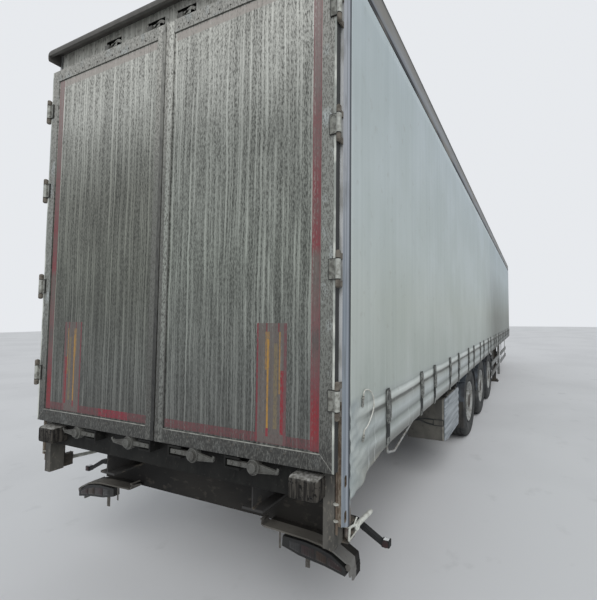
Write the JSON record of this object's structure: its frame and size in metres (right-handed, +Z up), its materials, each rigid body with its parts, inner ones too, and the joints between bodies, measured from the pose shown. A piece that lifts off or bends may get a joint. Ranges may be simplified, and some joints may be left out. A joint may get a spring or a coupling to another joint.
{
  "type": "semi trailer",
  "caption": "Curtain-sided semi trailer with rear barn doors, sliding roof, single-tyred axles, landing legs, side box and kingpin coupling under the neck.",
  "frame": {"origin": "on the ground, below the middle of the box around the whole trailer", "axes": "+X to the right, +Y forwards to the coupling end, +Z up"},
  "size_m": [2.772, 13.63, 3.98],
  "materials": {
    "frame_paint": "dusty satin",
    "body_steel": "weathered satin",
    "deck_wood": "worn phenolic board",
    "curtain_cloth": "coated cloth, satin",
    "roof_cloth": "coated cloth, satin",
    "cap_plastic": "weathered",
    "strap_webbing": "woven webbing",
    "cord_white": "braided cord",
    "galvanised": "galvanised",
    "rusty_steel": "rusty",
    "door_aluminium": "dirty, streaked",
    "black_rubber": "matt",
    "guard_plastic": "matt",
    "box_steel": "dusty satin",
    "box_panel": "dusty satin",
    "tank_paint": "satin",
    "tyre": "dusty",
    "rim_paint": "dusty satin"
  },
  "bodies": {
    "chassis": {"air_springs": "black_rubber", "air_tanks": "tank_paint", "axle_front": "frame_paint", "axle_middle": "frame_paint", "axle_rear": "frame_paint", "boarding_bar": "galvanised", "coupling_panel": "galvanised", "coupling_plate": "frame_paint", "cross_members": "frame_paint", "curtain_cord": "cord_white", "curtain_left": "curtain_cloth", "curtain_right": "curtain_cloth", "curtain_straps": "strap_webbing", "curtain_tensioners": "galvanised", "dock_buffers": "black_rubber", "floor": "deck_wood", "front_wall": "body_steel", "kingpin": "rusty_steel", "landing_gear": "frame_paint", "main_rails": "frame_paint", "marker_lamps": "black_rubber", "mudflaps": "black_rubber", "mudguards": "guard_plastic", "post_hinges": "rusty_steel", "rear_cap": "cap_plastic", "rear_lamps": "guard_plastic", "rear_portal": "body_steel", "roof_bows": "body_steel", "roof_cover": "roof_cloth", "roof_rails": "body_steel", "side_guards": "door_aluminium", "side_posts": "body_steel", "side_rails": "body_steel", "suspension": "frame_paint", "toolbox": "box_steel", "underride_bumper": "frame_paint"},
    "wheel_rear_left": {"tyre_rear_left": "tyre", "rim_rear_left": "rim_paint"},
    "wheel_rear_right": {"tyre_rear_right": "tyre", "rim_rear_right": "rim_paint"},
    "wheel_middle_left": {"tyre_middle_left": "tyre", "rim_middle_left": "rim_paint"},
    "wheel_middle_right": {"tyre_middle_right": "tyre", "rim_middle_right": "rim_paint"},
    "wheel_front_left": {"tyre_front_left": "tyre", "rim_front_left": "rim_paint"},
    "wheel_front_right": {"tyre_front_right": "tyre", "rim_front_right": "rim_paint"},
    "door_left": {"door_left_panel": "door_aluminium", "door_left_hinges": "galvanised", "door_left_locks": "galvanised"},
    "door_right": {"door_right_panel": "door_aluminium", "door_right_hinges": "galvanised", "door_right_locks": "galvanised"},
    "box_lid": {"toolbox_lid": "box_panel"}
  },
  "joints": [
    {"name": "wheel_rear_left_spin", "type": "hinge", "parent": "chassis", "child": "wheel_rear_left", "pos_m": [-1.02, -2.615, 0.528], "axis": [1, 0, 0], "continuous": true},
    {"name": "wheel_rear_right_spin", "type": "hinge", "parent": "chassis", "child": "wheel_rear_right", "pos_m": [1.02, -2.615, 0.528], "axis": [1, 0, 0], "continuous": true},
    {"name": "wheel_middle_left_spin", "type": "hinge", "parent": "chassis", "child": "wheel_middle_left", "pos_m": [-1.02, -1.305, 0.528], "axis": [1, 0, 0], "continuous": true},
    {"name": "wheel_middle_right_spin", "type": "hinge", "parent": "chassis", "child": "wheel_middle_right", "pos_m": [1.02, -1.305, 0.528], "axis": [1, 0, 0], "continuous": true},
    {"name": "wheel_front_left_spin", "type": "hinge", "parent": "chassis", "child": "wheel_front_left", "pos_m": [-1.02, 0.005, 0.528], "axis": [1, 0, 0], "continuous": true},
    {"name": "wheel_front_right_spin", "type": "hinge", "parent": "chassis", "child": "wheel_front_right", "pos_m": [1.02, 0.005, 0.528], "axis": [1, 0, 0], "continuous": true},
    {"name": "door_left_swing", "type": "hinge", "parent": "chassis", "child": "door_left", "pos_m": [-1.279, -6.791, 1.13], "axis": [0, 0, -1], "range_deg": [0, 265]},
    {"name": "door_right_swing", "type": "hinge", "parent": "chassis", "child": "door_right", "pos_m": [1.279, -6.791, 1.13], "axis": [0, 0, 1], "range_deg": [0, 265]},
    {"name": "box_lid_swing", "type": "hinge", "parent": "chassis", "child": "box_lid", "pos_m": [1.244, -4.085, 0.513], "axis": [0, 1, 0], "range_deg": [0, 100]}
  ]
}
